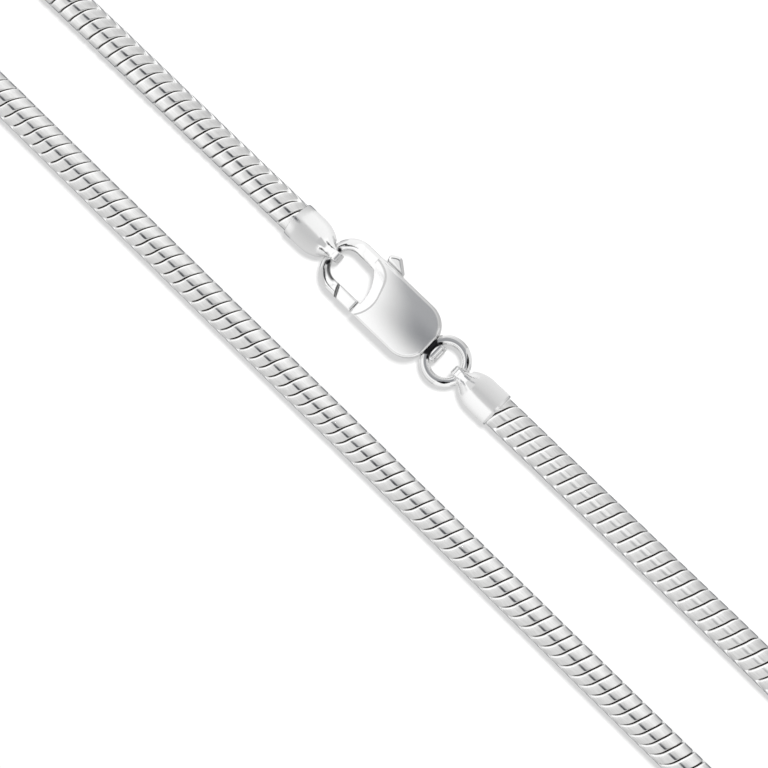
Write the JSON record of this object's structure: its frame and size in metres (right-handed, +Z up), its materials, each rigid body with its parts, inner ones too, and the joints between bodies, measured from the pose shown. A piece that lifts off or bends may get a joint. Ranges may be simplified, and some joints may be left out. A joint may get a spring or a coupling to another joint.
{
  "type": "snake chain necklace",
  "caption": "Round snake chain necklace laid flat as a closed loop, with end caps, a jump ring and a lobster clasp whose sprung lever opens.",
  "frame": {"origin": "on the surface that the necklace lies on, under the middle of the whole loop's box", "axes": "+X along the straight strands, towards the jump ring's side; +Y towards the strand with the clasp; +Z up from the surface"},
  "size_m": [0.2084, 0.0348, 0.0034],
  "materials": {
    "chain_silver": "polished silver bands with dark seams",
    "cap_silver": "satin silver",
    "ring_silver": "polished silver",
    "clasp_silver": "polished silver with a soft face",
    "lever_silver": "polished silver"
  },
  "bodies": {
    "necklace": {"chain": "chain_silver", "cap_hook_side": "cap_silver", "cap_ring_side": "cap_silver", "jump_ring": "ring_silver", "clasp_body": "clasp_silver"},
    "lever": {"clasp_lever": "lever_silver"}
  },
  "joints": [
    {"name": "lever_hinge", "type": "hinge", "parent": "necklace", "child": "lever", "pos_m": [-0.00112, 0.00515, 0.0017], "axis": [0, 0, -1], "range_deg": [0, 32], "stiffness_Nm_per_rad": 0.005, "springref_deg": -17.19}
  ]
}
